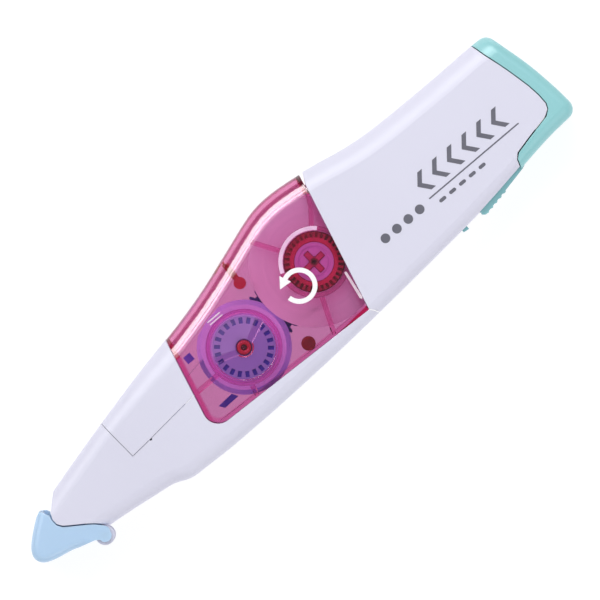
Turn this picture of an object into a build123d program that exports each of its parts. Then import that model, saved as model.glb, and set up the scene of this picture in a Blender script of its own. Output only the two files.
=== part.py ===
from build123d import *
import os, math

# Pen-type refillable correction tape roller, lying on its flat side.
# All sizes in mm. Drawn in a layout frame (supply and take-up reels near the middle) and moved at
# export so that the origin is the centre of the footprint, on the resting face. +X runs from tip to tail.

# ---- driving dimensions -------------------------------------------------------------------------
SHIFT_X, SHIFT_Y = 3.5, -3.15     # layout frame to part frame
T = 15.0                          # thickness of body and grip
ZM = T / 2                        # mid-plane, where the housing halves meet
WALL = 1.3                        # housing wall
H_TIP = 5.5                       # half thickness at the nose
R_TOP, R_BOT = 4.6, 2.8           # edge roundings of the long sides (upper, lower in plan)
R_NOSE = 3.1                      # upper edge rounding at the nose
FLAT = 0.03                       # the bar is cut this much to leave true flat faces
GAP = 0.08                        # seam between mouldings that stay together
MOVE = 0.22                       # gap between mouldings that move apart
CASE_SINK = 0.10                  # the clear case sits this far below the white housing

SUP = (6.9, 3.9)                  # supply reel axis
TAK = (-14.25, 0.02)              # take-up reel axis
MOD = 0.5                         # gear module
Z_SUP, Z_IDL, Z_TAK = 30, 20, 16  # teeth
GEAR_Z0, GEAR_Z1 = 2.45, 3.85
TAPE_Z0, TAPE_Z1 = 4.55, 10.55    # 6 mm tape
R_ROLL, R_CORE = 12.8, 6.0
R_USED = 4.6
FILM = 0.08

HINGE = (-58.5, -10.4)            # cap hinge axis
ROLLER = (-67.4, -4.9)            # tip roller axis
R_ROLLER = 0.95

# ---- body envelope ------------------------------------------------------------------------------
TOP = [(-74, -1.3), (-66, 1.05), (-60.4, 2.75), (-55, 4.2), (-50, 5.5), (-45, 6.7), (-40, 7.9), (-35, 9.05), (-30, 10.1),
       (-25, 11.05), (-20, 12.1), (-15, 13.35), (-10, 14.85), (-5, 16.5), (0, 18.15), (3, 19.05),
       (7, 19.6), (11, 19.4), (15.5, 18.85), (20, 18.1), (25, 17.1), (31, 16.4), (40, 16.1), (50, 16.1),
       (60, 16.1), (72, 16.1)]
BOT = [(-74, -8.0), (-60, -9.1), (-55.5, -9.6), (-52, -9.95), (-48, -10.5), (-44, -11.05), (-42, -11.35), (-40.6, -11.85), (-39.2, -12.5),
       (-37.5, -12.9), (-34, -13.05), (-28, -13.25), (-20, -13.2), (-10, -12.93), (0, -12.5), (10, -11.87), (20, -11.15),
       (30, -10.35), (38, -9.62), (44, -9.0), (49, -8.35), (60, -6.9), (72, -5.3)]


def interp(pts, x):
    """Monotone cubic through the points."""
    n = len(pts)
    xs = [p[0] for p in pts]
    ys = [p[1] for p in pts]
    d = [(ys[i + 1] - ys[i]) / (xs[i + 1] - xs[i]) for i in range(n - 1)]
    m = [d[0]] + [0 if d[i - 1] * d[i] <= 0 else 2 * d[i - 1] * d[i] / (d[i - 1] + d[i]) for i in range(1, n - 1)] + [d[-1]]
    i = max(0, min(n - 2, sum(1 for v in xs if v <= x) - 1))
    h = xs[i + 1] - xs[i]
    t = (x - xs[i]) / h
    return ((2 * t**3 - 3 * t**2 + 1) * ys[i] + (t**3 - 2 * t**2 + t) * h * m[i]
            + (-2 * t**3 + 3 * t**2) * ys[i + 1] + (t**3 - t**2) * h * m[i + 1])


def half(x):
    t = min(1, max(0, (-26 - x) / 38))
    return ZM - (ZM - H_TIP) * t * t * (3 - 2 * t)


STATIONS = [-70, -67.5, -65, -61, -57, -53, -49, -45.5, -43, -41.4, -40.2, -39, -37.6, -35.5, -32, -28, -24, -19, -14, -9, -4, 0.5,
            4, 8, 12, 16, 20, 24, 29, 35, 42, 50, 59, 70]


def section(x, inset, z_inset):
    yt, yb = interp(TOP, x) - inset, interp(BOT, x) + inset
    h = half(x) - z_inset
    t = min(1, max(0, (-24 - x) / 24))
    rt, rb = max(0.3, R_TOP - (R_TOP - R_NOSE) * t * t * (3 - 2 * t) - inset), max(0.3, R_BOT - inset)
    k = min(1.0, 0.9 * (yt - yb) / (rt + rb), 0.9 * h / rt)
    rt, rb = rt * k, rb * k
    zl, zh = ZM - h, ZM + h
    k = math.sqrt(0.5)

    def P(y, z):
        return (x, y, z)

    e = [Line(P(yb + rb, zl), P(yt - rt, zl)),
         ThreePointArc(P(yt - rt, zl), P(yt - rt + rt * k, zl + rt - rt * k), P(yt, zl + rt)),
         Line(P(yt, zl + rt), P(yt, zh - rt)),
         ThreePointArc(P(yt, zh - rt), P(yt - rt + rt * k, zh - rt + rt * k), P(yt - rt, zh)),
         Line(P(yt - rt, zh), P(yb + rb, zh)),
         ThreePointArc(P(yb + rb, zh), P(yb + rb - rb * k, zh - rb + rb * k), P(yb, zh - rb)),
         Line(P(yb, zh - rb), P(yb, zl + rb)),
         ThreePointArc(P(yb, zl + rb), P(yb + rb - rb * k, zl + rb - rb * k), P(yb + rb, zl))]
    return Face(Wire(e))


_ENV = {}


def env(inset, z_inset=None):
    """The rounded bar that the whole body is cut from, inset by a wall."""
    z_inset = inset if z_inset is None else z_inset
    key = (round(inset, 3), round(z_inset, 3))
    if key not in _ENV:
        _ENV[key] = loft([section(x, inset, z_inset) for x in STATIONS])
    return _ENV[key]


# ---- small helpers ------------------------------------------------------------------------------
def prism(pts, z0=-6.0, z1=22.0, r=None):
    f = make_face(Polyline(*pts, close=True))
    if r:
        for p, rad in r:
            v = f.vertices().sort_by_distance(Vector(p[0], p[1], 0))[0]
            f = fillet(v, rad)
    return Pos(0, 0, z0) * extrude(f, z1 - z0)


def cyl(c, r, z0, z1):
    return Pos(c[0], c[1], (z0 + z1) / 2) * Cylinder(r, z1 - z0)


def tube(c, ro, ri, z0, z1):
    return cyl(c, ro, z0, z1) - cyl(c, ri, z0 - 1, z1 + 1)


def box(x0, x1, y0, y1, z0, z1):
    return Pos((x0 + x1) / 2, (y0 + y1) / 2, (z0 + z1) / 2) * Box(x1 - x0, y1 - y0, z1 - z0)


def bar(a, b, w, z0, z1):
    """Straight bar of width w from a to b."""
    dx, dy = b[0] - a[0], b[1] - a[1]
    n = math.hypot(dx, dy)
    ux, uy = -dy / n * w / 2, dx / n * w / 2
    return prism([(a[0] + ux, a[1] + uy), (b[0] + ux, b[1] + uy), (b[0] - ux, b[1] - uy), (a[0] - ux, a[1] - uy)], z0, z1)


def drafted(a, b, w0, w1, z0, z1):
    """Straight bar from a to b, w0 wide at z0 and w1 at z1."""
    dx, dy = b[0] - a[0], b[1] - a[1]
    n = math.hypot(dx, dy)
    faces = []
    for w, z in ((w0, z0), (w1, z1)):
        ux, uy = -dy / n * w / 2, dx / n * w / 2
        f = make_face(Polyline((a[0] + ux, a[1] + uy), (b[0] + ux, b[1] + uy), (b[0] - ux, b[1] - uy), (a[0] - ux, a[1] - uy), close=True))
        faces.append(Pos(0, 0, z) * f)
    return loft(faces, ruled=True)


def drafted_ring(c, ro0, ri0, ro1, ri1, z0, z1):
    """Ring wall with draft, radii ro0/ri0 at z0 and ro1/ri1 at z1."""
    at = Pos(c[0], c[1], (z0 + z1) / 2)
    return (at * Cone(ro0, ro1, z1 - z0)) - (at * Cone(ri0, ri1, z1 - z0))


UPPER = box(-90, 90, -40, 40, ZM + GAP / 2, 30)
LOWER = box(-90, 90, -40, 40, -10, ZM - GAP / 2)

# ---- plan regions -------------------------------------------------------------------------------
# window of the clear case
W_PTS = [(-29.4, -8.55), (8.8, -10.0), (16.85, 24.0), (17.0, 27.0), (-21.1, 27.0), (-25.0, 10.45)]
W_R = [((-29.4, -8.55), 3.0)]


def window(grow=0.0):
    f = make_face(Polyline(*W_PTS, close=True))
    f = fillet(f.vertices().sort_by_distance(Vector(-29.4, -8.55, 0))[0], 3.0)
    if grow:
        f = offset(f, grow, kind=Kind.ARC if grow > 0 else Kind.INTERSECTION)
    return Pos(0, 0, -6) * extrude(f, 28)


# body and grip plan outline, nose mouth and tail end
MOUTH = [(-56.2, -9.2), (-57.3, -8.45), (-58.6, -7.15), (-60.0, -6.1), (-62.0, -4.75), (-63.55, -3.65), (-64.2, -2.7), (-64.3, -1.5),
         (-63.75, -0.25), (-62.2, 1.25), (-61.1, 2.3)]
TAIL_END = [(60.95, 16.6), (62.2, 11.2), (63.4, 6.5), (64.2, 2.0), (64.75, -2.2), (65.0, -5.3)]


def plan():
    edges = [Polyline((-56.2, -20), *MOUTH, (-59.0, 4.2), (-56, 30), (60.6, 30), (60.95, 16.6)),
             Spline(*TAIL_END),
             Polyline((65.0, -5.3), (65.0, -20), (-56.2, -20))]
    return Pos(0, 0, -6) * extrude(make_face(edges), 28)


C_LINE = [(9.08, -9.95), (15.28, 16.3), (17.05, 19.9), (17.6, 27)]


def left_of_grip(d):
    """Everything ahead of the grip body's front edge, d further forward."""
    return prism([(10.7 - d, -20), (10.5 - d, -12.1), (9.95 - d, -11.0)] + [(x - d, y) for x, y in C_LINE] + [(-90, 27), (-90, -20)])


M_LINE = [(57.15, 18.5), (57.3, 16.1), (58.0, 13.0), (58.8, 10.4), (59.5, 7.9), (60.1, 5.4), (60.65, 3.0), (61.0, 0.5), (61.05, -1.7),
          (60.6, -2.8), (59.4, -3.55), (54.0, -4.7), (50.7, -5.5), (49.75, -6.5), (49.25, -8.2), (49.15, -14)]


def tail_region(d):
    return prism([(x - d, y + (d if y < -3 and x > 50 else 0)) for x, y in M_LINE] + [(90, -14), (90, 18.5)])


B_PTS = [(-45.2, 20), (-45.0, 6.7), (-44.8, 4.0), (-44.35, -2.1), (-40, -1.8), (-36, -1.45), (-30, -0.95), (-27.4, -0.8), (-10, -0.8), (-10, 20)]


def cover_region(d):
    f = make_face(Polyline(*B_PTS, close=True))
    if d:
        f = offset(f, d, kind=Kind.INTERSECTION)
    return Pos(0, 0, -6) * extrude(f, 28)


# wall outline of the clear case where the white housing covers it
K_PTS = [(-29.95, -10.65), (-15, -10.9), (2.0, -10.75), (8.9, -10.12), (16.85, 24.0), (17.0, 27.0), (-21.1, 27.0), (-25.0, 10.45)]


def k_region(grow=0.0):
    f = make_face(Polyline(*K_PTS, close=True))
    if grow:
        f = offset(f, grow, kind=Kind.INTERSECTION)
    return Pos(0, 0, -6) * extrude(f, 28)


def gear(c, z, z0, z1, phase, bore, back=0.10):
    """Involute spur gear with a tooth centred at the phase angle."""
    r = MOD * z / 2
    rb = r * math.cos(math.radians(20))
    ra, rr = r + 0.9 * MOD, r - 1.15 * MOD
    inv = lambda a: math.tan(a) - a
    half_p = math.pi / (2 * z) - back / (2 * r)
    a_p = math.radians(20)
    pts = []
    prof = []
    r0 = max(rb, rr)
    for i in range(5):
        rho = r0 + (ra - r0) * i / 4
        a = math.acos(min(1, rb / rho))
        prof.append((rho, half_p + inv(a_p) - inv(a)))
    if rr < rb:
        prof.insert(0, (rr, prof[0][1]))
    for k in range(z):
        th = phase + 2 * math.pi * k / z
        for rho, h in prof:
            pts.append((c[0] + rho * math.cos(th - h), c[1] + rho * math.sin(th - h)))
        for rho, h in reversed(prof):
            pts.append((c[0] + rho * math.cos(th + h), c[1] + rho * math.sin(th + h)))
    return prism(pts, z0, z1) - cyl(c, bore, z0 - 1, z1 + 1)


def film(pts, z0, z1, t=FILM):
    """Thin strip along a path of points."""
    out, inn = [], []
    n = len(pts)
    for i in range(n):
        a, b = pts[max(0, i - 1)], pts[min(n - 1, i + 1)]
        d = math.hypot(b[0] - a[0], b[1] - a[1])
        ux, uy = -(b[1] - a[1]) / d * t / 2, (b[0] - a[0]) / d * t / 2
        out.append((pts[i][0] + ux, pts[i][1] + uy))
        inn.append((pts[i][0] - ux, pts[i][1] - uy))
    return prism(out + inn[::-1], z0, z1)


N = {}

# ---- gear train axes ----------------------------------------------------------------------------
dxy = (TAK[0] - SUP[0], TAK[1] - SUP[1])
dist = math.hypot(*dxy)
u = (dxy[0] / dist, dxy[1] / dist)
c1 = MOD * (Z_SUP + Z_IDL) / 2
c2 = MOD * (Z_IDL + Z_TAK) / 2
TAK = (SUP[0] + u[0] * (c1 + c2), SUP[1] + u[1] * (c1 + c2))
IDL = (SUP[0] + u[0] * c1, SUP[1] + u[1] * c1)
PHI = math.atan2(u[1], u[0])
print("IDL", IDL, "TAK", TAK, "PHI deg", math.degrees(PHI))

# ---- shells -------------------------------------------------------------------------------------
body = env(0, -FLAT) & plan()
end_face = body.faces().sort_by(Axis.X)[-1]
for r in (2.2, 1.8, 1.4, 1.0):
    try:
        b2 = fillet(end_face.edges(), r)
        if b2.is_valid:
            body = b2
            print("tail rounding", r)
            break
    except Exception as ex:
        print("tail rounding failed", r)
body = body & box(-90, 90, -40, 40, 0, T)
cavity_end = Pos(-1.4, 0, -6) * extrude(make_face([Spline(*TAIL_END), Polyline((65.0, -5.3), (65.0, -20), (-90, -20), (-90, 30), (60.6, 30), (60.95, 16.6))]), 28)
cavity = env(WALL) & cavity_end
shell = body - cavity

ear_cut_r = 2.15
front = (shell & left_of_grip(MOVE)) - window(GAP) - cover_region(GAP)
# the wedge between window and grip is open right through
front = front - prism([(8.6, -9.5), (16.6, 24), (30, 24), (30, -9.5)])
# mouth side recess for the cap arms, with the hinge ears inside
arm_z = 0.95 + 0.22
nose_lo, nose_hi = ZM - H_TIP, ZM + H_TIP
front = front - cyl(HINGE, ear_cut_r, -6, 22)
ear = cyl(HINGE, 1.9, nose_lo + arm_z, nose_hi - arm_z)
web = prism([(-57.9, -8.6), (-55.0, -6.9), (-52.6, -10.6), (-56.8, -11.6)], nose_lo + arm_z, nose_hi - arm_z) & env(0.0)
ear = (ear + web) - box(-64, -50, -14, -5.5, ZM - 3.2, ZM + 3.2)
ear_full = ear
pin_hole = cyl(HINGE, 0.5, -5, 25)
peg1 = cyl((-34.5, -10.3), 1.0, 0, T) & env(WALL - 0.05)
peg2 = cyl((-48.5, 2.4), 0.9, 0, T) & env(WALL - 0.05)
peg3 = cyl((6.0, -11.3), 0.5, 0, T) & env(WALL - 0.05)
front_upper = (front & UPPER) + (ear_full & UPPER)
front_lower = (front & LOWER) + (ear_full & LOWER)
front_lower = front_lower + (peg1 & box(-90, 90, -40, 40, 0, 11.0)) + (peg2 & box(-90, 90, -40, 40, 0, 11.0))
front_upper = front_upper - pin_hole - cyl((-34.5, -10.3), 1.0, 0, T - WALL + 0.3)
front_upper = front_upper - bar((-39.8, -1.99), (-39.35, -1.95), 0.26, T - 2.2, T + 1)      # prying notch at the cover's seam
front_lower = front_lower - pin_hole
N["front_shell_upper"] = front_upper
N["front_shell_lower"] = front_lower

cover = ((shell & cover_region(0)) & left_of_grip(MOVE)) - window(GAP)
N["nose_cover"] = cover

# clear case
Wp, Wi = window(), window(-0.95)
K, Ki = k_region(), k_region(-0.95)
tail_disc = cyl(SUP, 14.1, 1.5, T - 1.5) - prism([(-40, -30), (4.1, -30), (8.85, -10.0), (16.85, 24.0), (17, 30), (-40, 30)])
tail_hole = cyl(SUP, 13.2, 2.3, T - 2.3)
tail_case = (tail_disc - tail_hole) & env(WALL + 0.2)
ring_in = (K - Ki) & Wp & env(WALL - 0.1)
ring_out = ((K - Ki) - Wp) & env(WALL + 0.15)
ring_out = ring_out - cyl(SUP, 13.2, -1, 20)
plate = Wp & ((env(CASE_SINK, CASE_SINK - FLAT) & box(-90, 90, -40, 40, CASE_SINK, T - CASE_SINK)) & plan()) - env(WALL)
ledge = ((Wp - Wi) & env(WALL - 0.1)) - env(WALL + 0.95)
cover_plate = ((K - Wp) & env(WALL + 0.15)) - env(WALL + 0.95)
neck_open = box(-33, -23.5, -10.0, 6.6, 3.4, 11.65)
# no side wall on the case where it meets the grip: the roll passes here
walls = ledge + (ring_in + ring_out - neck_open) - cyl(SUP, 13.26, 2.27, T - 2.27)
clear = plate + walls + cover_plate + tail_case
print("clear case", clear.is_valid, len(clear.solids()))

RIB_Z0, RIB_Z1 = 11.55, T - WALL + 0.1
ribs = [((-21.6, -0.75), (-26.8, -0.75)), ((-17.8, -6.7), (-18.25, -8.7)), ((-10.2, -6.1), (-8.2, -9.0)), ((3.6, -2.4), (0.8, -9.4)),
        ((-0.1, 14.9), (3.5, 9.3)), ((10.9, 9.4), (13.6, 12.8)), ((13.3, 12.4), (15.2, 16.4))]
rib_solid = [drafted(a, b, 0.5, 1.05, RIB_Z0, RIB_Z1) for a, b in ribs]
rib_solid.append(drafted((-6.8, 10.1), (-6.8, 15.4), 0.7, 1.1, RIB_Z0, RIB_Z1))
upper_rings = [drafted_ring(TAK, 7.2, 6.9, 7.5, 6.6, 11.5, RIB_Z1), drafted_ring(SUP, 6.8, 6.3, 7.05, 6.05, 11.5, RIB_Z1)]
case_upper = clear & UPPER
rib_room = (Wp & env(WALL - 0.1)) + env(WALL + 0.3)
for s in rib_solid + upper_rings:
    case_upper = case_upper + (s & rib_room)
# shallow dish above the take-up dial
face_z = T - CASE_SINK
sector = [TAK] + [(TAK[0] + 9 * math.cos(math.radians(a)), TAK[1] + 9 * math.sin(math.radians(a))) for a in (22, 50, 80, 110, 140, 162)]
dish_f = (Pos(TAK[0], TAK[1], 0) * Circle(6.45)) - make_face(Polyline(*[(x, y - 0.9) for x, y in sector], close=True)) - (Pos(TAK[0], TAK[1], 0) * Circle(1.7))
dish_face = dish_f.faces().sort_by(SortBy.AREA)[-1] if len(dish_f.faces()) > 1 else dish_f.face()
try:
    dish = extrude(Pos(0, 0, face_z + 0.02) * dish_face, -0.40, taper=32)
    assert dish.is_valid and 20 < dish.volume < 40
    print("dish with draft", round(dish.volume, 2))
except Exception as ex:
    print("dish draft failed", ex)
    dish = Pos(0, 0, face_z - 0.38) * extrude(dish_face, 0.6)
case_upper = case_upper - dish
case_lower = clear & LOWER
print("lower", case_lower.is_valid)
axles = [cyl(SUP, 1.5, 1.2, 11.0), tube(TAK, 1.25, 0.6, 1.2, 12.6), cyl(IDL, 1.2, 1.2, 3.75)]
for s in axles:
    case_lower = case_lower + s
    print("axle", case_lower.is_valid)
pegs_c = [((-6.8, 10.1), 1.2), ((-4.2, -7.5), 1.4)]
N["case_cover_upper"] = case_upper
N["case_cover_lower"] = case_lower
N["case_pegs"] = cyl(pegs_c[0][0], pegs_c[0][1], WALL - 0.4, T - WALL + 0.4) + cyl(pegs_c[1][0], pegs_c[1][1], WALL - 0.4, T - WALL + 0.4)
for c, r in pegs_c:
    for key in ("case_cover_upper", "case_cover_lower"):
        N[key] = N[key] - cyl(c, r, WALL - 0.4, T - WALL + 0.4)
        print(key, c, N[key].is_valid)
N["guide_blocks"] = box(-24.6, -23.0, 4.5, 6.1, 11.5, T - WALL) + prism([(-25.4, -5.5), (-21.9, -5.3), (-21.2, -6.5), (-24.6, -6.6)], 11.5, T - WALL)
N["case_cover_upper"] = N["case_cover_upper"] - N["guide_blocks"]

# ---- supply reel --------------------------------------------------------------------------------
N["supply_gear"] = gear(SUP, Z_SUP, GEAR_Z0, GEAR_Z1, PHI, 1.57) + tube(SUP, 3.1, 1.57, GEAR_Z1 - 0.1, 11.15)
N["clutch_ring"] = tube(SUP, 3.65, 3.1, 5.0, 10.0) - box(SUP[0], SUP[0] + 5, SUP[1] - 0.5, SUP[1] + 0.5, 4, 11)
N["tape_core"] = tube(SUP, R_CORE, 3.65, TAPE_Z0, TAPE_Z1)
N["tape_roll"] = tube(SUP, R_ROLL, R_CORE, TAPE_Z0 + 0.03, TAPE_Z1 - 0.03)
tooth_ring = tube(SUP, 5.8, 3.95, TAPE_Z1, 12.1) + cyl(SUP, 4.6, 11.2, 11.5)
for k in range(32):
    a = 2 * math.pi * k / 32
    tooth_ring = tooth_ring - (Pos(SUP[0], SUP[1], 0) * Rot(0, 0, math.degrees(a)) * box(4.75, 6.2, -0.26, 0.26, 11.0, 13))
arms = lambda g, z0, z1: [Pos(SUP[0], SUP[1], 0) * Rot(0, 0, 90 * k + 4) * box(0.2, 2.3 + g, -0.5 - g, 0.5 + g, z0, z1) for k in range(4)]
hub = cyl(SUP, 3.85, 11.5, 11.95) - tube(SUP, 3.15, 2.75, 11.75, 12.4) - cyl(SUP, 0.9 + 0.12, 11, 13)
for k in range(4):
    tooth_ring = tooth_ring + arms(0.0, 11.45, 12.35)[k]
    hub = hub - arms(0.12, 11.0, 13.0)[k]
tooth_ring = tooth_ring + cyl(SUP, 0.9, 11.45, 12.35) - cyl(SUP, 0.45, 11.6, 13)
N["supply_tooth_ring"] = tooth_ring
N["supply_snap_hub"] = hub

# ---- take-up reel and idler ---------------------------------------------------------------------
N["takeup_gear"] = gear(TAK, Z_TAK, GEAR_Z0, GEAR_Z1, PHI + math.pi, 1.32) + tube(TAK, 2.4, 1.32, GEAR_Z1 - 0.1, 11.2)
N["takeup_spool"] = tube(TAK, 4.0, 2.4, 3.95, 11.15) + tube(TAK, 9.3, 2.4, 3.95, 4.4) + tube(TAK, 8.3, 2.4, 10.7, 11.15)
N["used_tape_winding"] = tube(TAK, R_USED, 4.0, TAPE_Z0 + 0.03, TAPE_Z1 - 0.03)
dial = tube(TAK, 6.2, 1.6, 11.75, 12.2)
for k in range(22):
    dial = dial - (Pos(TAK[0], TAK[1], 0) * Rot(0, 0, 360 * k / 22 + 8) * box(4.65, 5.85, -0.39, 0.39, 11, 13))
N["takeup_dial"] = tube(TAK, 6.1, 1.6, 11.2, 11.75)
N["dial_face"] = dial
N["idler_gear"] = gear(IDL, Z_IDL, GEAR_Z0, GEAR_Z1 - 0.02, PHI + math.pi + math.pi / Z_IDL, 1.28)

# ---- tape runs ----------------------------------------------------------------------------------
def tangent(p1, r1, p2, r2, side):
    """Points of the common tangent on one side of two circles."""
    dx, dy = p2[0] - p1[0], p2[1] - p1[1]
    d = math.hypot(dx, dy)
    a = math.atan2(dy, dx)
    b = math.acos((r1 - r2) / d)
    t = a + side * b
    return ((p1[0] + r1 * math.cos(t), p1[1] + r1 * math.sin(t)), (p2[0] + r2 * math.cos(t), p2[1] + r2 * math.sin(t)), t)


POST = (-4.2, -7.5)
rr, rp, rs, rt = R_ROLLER + 0.12, 1.4 + 0.06, R_ROLL + 0.10, R_USED + 0.10
a0, a1, t0 = tangent(SUP, rs, POST, rp, 1)          # under the roll and the post
b0, b1, t1 = tangent(POST, rp, ROLLER, rr, 1)
u0, u1, t2 = tangent(ROLLER, rr, TAK, rt, 1)
fresh = [a0, a1]
while t1 > t0 + math.pi:
    t1 -= 2 * math.pi
for i in range(1, 4):
    t = t0 + (t1 - t0) * i / 4
    fresh.append((POST[0] + rp * math.cos(t), POST[1] + rp * math.sin(t)))
fresh += [b0, b1]
# round the front of the tip roller
tb, tu = t1 % (2 * math.pi), t2 % (2 * math.pi)
if tu > tb:
    tu -= 2 * math.pi
mid_t = (tb + tu) / 2
for i in range(1, 9):
    t = tb + (mid_t - tb) * i / 8
    fresh.append((ROLLER[0] + rr * math.cos(t), ROLLER[1] + rr * math.sin(t)))
used = []
for i in range(8, 0, -1):
    t = tu + (mid_t - tu) * i / 8
    used.append((ROLLER[0] + rr * math.cos(t), ROLLER[1] + rr * math.sin(t)))
used += [u0, u1]
N["fresh_tape_run"] = film(fresh, TAPE_Z0 + 0.05, TAPE_Z1 - 0.05)
N["used_tape_run"] = film(used[1:], TAPE_Z0 + 0.05, TAPE_Z1 - 0.05)

# ---- tip: head frame, roller --------------------------------------------------------------------
side_pts = [(-68.0, -5.45), (-68.05, -4.4), (-66.6, -3.3), (-62.5, -2.2), (-58.0, -1.3), (-46.0, 0.3), (-30.2, 1.6), (-30.2, -6.6), (-46.0, -6.6), (-57, -6.3),
            (-63.5, -6.3), (-66.8, -6.0)]
plate_lo = prism(side_pts, 3.65, 4.4)
plate_hi = prism(side_pts, 10.7, 11.45)
spine = prism([(-63.6, -4.95), (-60, -3.9), (-45, -2.4), (-31, -1.6), (-31, -4.6), (-45, -4.8), (-60, -5.3)], 4.3, 10.8)
head = plate_lo + plate_hi + spine
head = head - cyl(ROLLER, 0.4, 0, 20) - cyl(peg2_c := (-48.5, 2.4), 1.2, 0, 20)
N["head_frame"] = head
N["roller_pin"] = cyl(ROLLER, 0.4, 3.65, 11.45)
N["press_roller"] = tube(ROLLER, R_ROLLER, 0.46, 4.5, 10.6)

# ---- cap ----------------------------------------------------------------------------------------
cap_out = [(-65.3, 1.45), (-66.5, 0.9), (-68.0, -0.2), (-70.0, -1.85), (-71.25, -3.2), (-71.9, -4.6), (-71.75, -5.8), (-71.0, -6.75), (-70.0, -7.3),
           (-68.0, -7.9), (-64.0, -8.9), (-62.0, -9.45), (-60.6, -9.85)]
cap_edge = [(-64.35, 0.75), (-64.0, 0.05)]
gap_line = [(-64.5, -1.45), (-64.45, -2.75), (-63.75, -3.85), (-62.15, -4.98), (-60.15, -6.33), (-58.8, -7.35), (-57.55, -8.6), (-57.0, -9.4)]
cap_pts = cap_out + [(-60.0, -10.3)] + [(HINGE[0] + 1.3 * math.cos(math.radians(a)), HINGE[1] + 1.3 * math.sin(math.radians(a))) for a in (180, 205, 230, 255, 280, 305, 330, 355)] \
    + [(-56.95, -9.9)] + gap_line[::-1] + [(-64.3, -0.4)] + cap_edge[::-1]
CAP_Z0, CAP_Z1 = ZM - H_TIP, ZM + H_TIP
cap_face = make_face(Spline(*cap_out[1:-2]).edges() + Polyline(*(cap_out[-3:] + cap_pts[len(cap_out):] + cap_out[:2])).edges())
cap_solid = Pos(0, 0, CAP_Z0) * extrude(cap_face, CAP_Z1 - CAP_Z0)
# rounded long edges on the outside
outer_edges = [e for e in cap_solid.edges() if abs(e.center().Z - CAP_Z0) < 1e-3 or abs(e.center().Z - CAP_Z1) < 1e-3]
outer_edges = [e for e in outer_edges if e.length > 9]
print("cap outer edges", [round(e.length, 2) for e in outer_edges])
for r in (1.6, 1.3, 1.0, 0.6):
    try:
        cap_r = fillet(outer_edges, r)
        if cap_r.is_valid:
            cap_solid = cap_r
            print("cap fillet", r)
            break
    except Exception as ex:
        print("cap fillet failed", r, ex)
CW = 0.95
inner_pts = [(-65.0, 0.15), (-66.1, -0.25), (-67.5, -1.3), (-69.3, -2.75), (-70.4, -3.95), (-70.9, -4.8), (-70.7, -5.5), (-70.2, -6.1), (-69.5, -6.5), (-67.7, -7.0),
             (-63.8, -8.0), (-61.9, -8.5), (-60.7, -8.7), (-55.5, -13.5), (-54, -6.0), (-62.5, 1.4), (-64.3, 3.2)]
inner = prism(inner_pts, CAP_Z0 + CW, CAP_Z1 - CW)
mouth_cut = prism([(-65.1, 1.2), (-64.1, -0.95), (-63.4, -0.9), (-63.3, 0.6), (-64.4, 1.6)]) & box(-90, 90, -40, 40, ZM, 20)
cap = cap_solid - inner - mouth_cut - cyl(HINGE, 2.15, CAP_Z0 + CW, CAP_Z1 - CW) - cyl(HINGE, 0.56, CAP_Z0 + 0.3, CAP_Z1 - 0.3)
N["cap"] = cap
N["cap_hinge_pin"] = cyl(HINGE, 0.5, CAP_Z0 + 0.38, CAP_Z1 - 0.38)

# ---- grip body and release slide ----------------------------------------------------------------
grip_region = prism([(10.7, -20), (10.5, -12.1), (9.95, -11.0)] + C_LINE + [(90, 27), (90, -20)])
grip = (shell & grip_region) - tail_region(0.0)
TAB_Z0, TAB_Z1 = 3.5, 11.5
strip_pts = [(49.6, -7.7), (44, -8.55), (37.9, -9.2), (37.9, -10.35), (38.4, -10.72), (41, -10.2), (44, -9.65), (47.5, -8.95), (49.6, -8.5), (51.2, -7.85)]
strip_cut = prism([(60, -6.2), (49.6, -7.45), (44, -8.3), (37.65, -8.95), (37.65, -14), (60, -14)], TAB_Z0 - 0.25, TAB_Z1 + 0.25)
hook_slot = box(32.55, 37.45, -14, -6, 5.6, 9.4)
strip_bay = prism([(37.7, -9.55), (43.5, -8.74), (49.0, -7.88), (50.2, -7.7), (51.5, -12), (37.7, -12)])
grip = grip - strip_cut - hook_slot - strip_bay
gpegs = [(29.0, 12.0), (50.0, 11.5), (45.0, -3.5)]
g_up, g_lo = grip & UPPER, grip & LOWER
for c in gpegs:
    g_lo = g_lo + cyl(c, 1.1, WALL - 0.1, 11.0)
    g_up = g_up + (tube(c, 2.0, 1.15, ZM + 1.5, T - WALL + 0.1) & env(WALL - 0.1))
N["rear_shell_upper"] = g_up
N["rear_shell_lower"] = g_lo

tail = (shell & tail_region(-0.2))
strip = prism(strip_pts, TAB_Z0, TAB_Z1)
for k in range(5):
    x = 38.9 + 1.25 * k
    y = -10.42 + (x - 38.4) * 0.175
    strip = strip + (Pos(x, y - 0.02, (TAB_Z0 + TAB_Z1) / 2) * Cylinder(0.42, TAB_Z1 - TAB_Z0))
arm = prism([(32.9, -10.6), (34.1, -10.75), (34.15, -8.0), (50.5, -5.9), (51.2, -6.9), (56.5, -6.05), (56.5, -4.2), (50.0, -4.9), (33.2, -7.0), (32.9, -7.3)], 5.9, 9.1) & (env(0.35) + box(30, 45, -12, -5, 5, 10))
rails = [prism([(53.0, 0), (53.0, 10.5), (61.3, 10.5), (63.6, -1.0), (62.6, -2.0)], z0, z0 + 0.9) & env(WALL + 0.2) for z0 in (1.55, T - 2.45)]
tail = tail + strip + arm + rails[0] + rails[1]
N["release_slide"] = tail

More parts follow.
